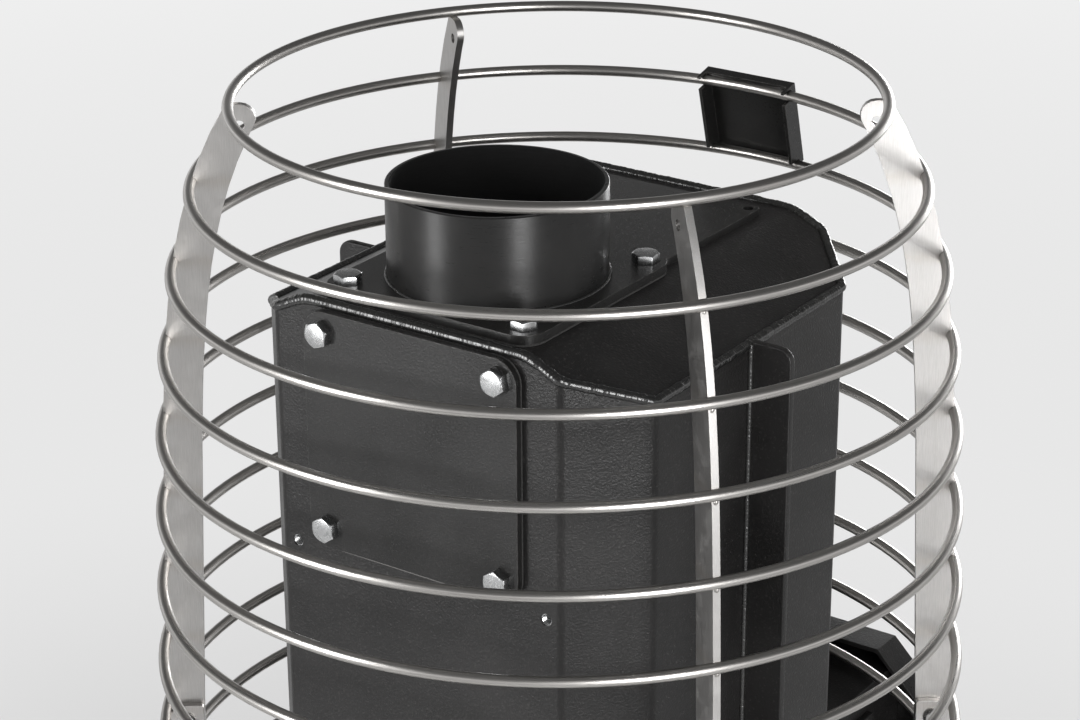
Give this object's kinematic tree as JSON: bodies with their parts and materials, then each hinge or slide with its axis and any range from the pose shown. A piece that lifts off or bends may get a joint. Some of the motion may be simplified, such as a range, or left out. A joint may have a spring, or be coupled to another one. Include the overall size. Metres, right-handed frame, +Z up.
{
  "type": "sauna heater stove",
  "caption": "Wood-burning sauna stove: a tall black firebox with flue collar and glass door, inside a hive-shaped cage of steel rings and flat ribs that holds the stones",
  "frame": {"origin": "middle of the overall box on the floor, which lies a little in front of the cage's own axis", "axes": "+Z up, the door looks along -Y, +X to the right of someone facing the door"},
  "size_m": [0.4514, 0.5274, 0.783],
  "materials": {
    "cage_steel": "brushed stainless rod and plate",
    "stainless_fasteners": "plain stainless",
    "stove_paint": "heat-proof satin black",
    "plate_paint": "satin black sheet",
    "door_iron": "blackened cast iron",
    "grate_iron": "raw cast iron",
    "baffle_plate": "scaled heat-proof plate",
    "zinc": "bright zinc plating",
    "turned_steel": "turned and polished steel",
    "gasket": "pressed fibre sheet",
    "rope_seal": "woven glass-fibre cord",
    "door_glass": "clear glass ceramic"
  },
  "bodies": {
    "stove": {"ring_01": "cage_steel", "ring_02": "cage_steel", "ring_03": "cage_steel", "ring_04": "cage_steel", "ring_05": "cage_steel", "ring_06": "cage_steel", "ring_07": "cage_steel", "ring_08": "cage_steel", "ring_09": "cage_steel", "ring_10": "cage_steel", "ring_11": "cage_steel", "ring_12": "cage_steel", "ring_13": "cage_steel", "ring_14": "cage_steel", "ring_15": "cage_steel", "ring_16": "cage_steel", "ring_17": "cage_steel", "upper_rib_rear_right": "cage_steel", "upper_rib_rear_left": "cage_steel", "upper_rib_front_left": "cage_steel", "upper_rib_front_right": "cage_steel", "lower_rib_rear_right": "cage_steel", "lower_rib_rear_left": "cage_steel", "lower_rib_front_left": "cage_steel", "lower_rib_front_right": "cage_steel", "front_post_left": "stove_paint", "front_post_right": "stove_paint", "rib_screws": "stainless_fasteners", "rib_nuts": "stainless_fasteners", "badge_plate": "plate_paint", "firebox_shell": "stove_paint", "firebox_top": "stove_paint", "ash_floor": "stove_paint", "side_fins": "stove_paint", "flue_collar": "stove_paint", "flue_flange": "stove_paint", "plate_gaskets": "gasket", "rear_cover": "stove_paint", "plate_bolts": "zinc", "fixing_nuts": "zinc", "top_strip": "stove_paint", "smoke_baffle": "baffle_plate", "firebox_ledges": "stove_paint", "fire_grate": "grate_iron", "door_tunnel": "stove_paint", "door_casing": "stove_paint", "hinge_brackets": "stove_paint", "hinge_pins": "turned_steel", "door_catch": "turned_steel", "drawer_runners": "stove_paint", "base_plate": "stove_paint", "feet": "zinc"},
    "door": {"door_frame": "door_iron", "door_glass": "door_glass", "door_seal": "rope_seal", "glass_clips": "turned_steel", "door_knob": "turned_steel"},
    "drawer": {"ash_drawer": "stove_paint", "drawer_front": "stove_paint", "drawer_knob": "turned_steel"}
  },
  "joints": [
    {"name": "door_hinge", "type": "hinge", "parent": "stove", "child": "door", "pos_m": [-0.094, -0.21972, 0.252], "axis": [0, 0, -1], "range_deg": [0, 115]},
    {"name": "drawer_slide", "type": "slide", "parent": "stove", "child": "drawer", "axis": [0, -1, 0], "range_m": [0, 0.24]}
  ]
}
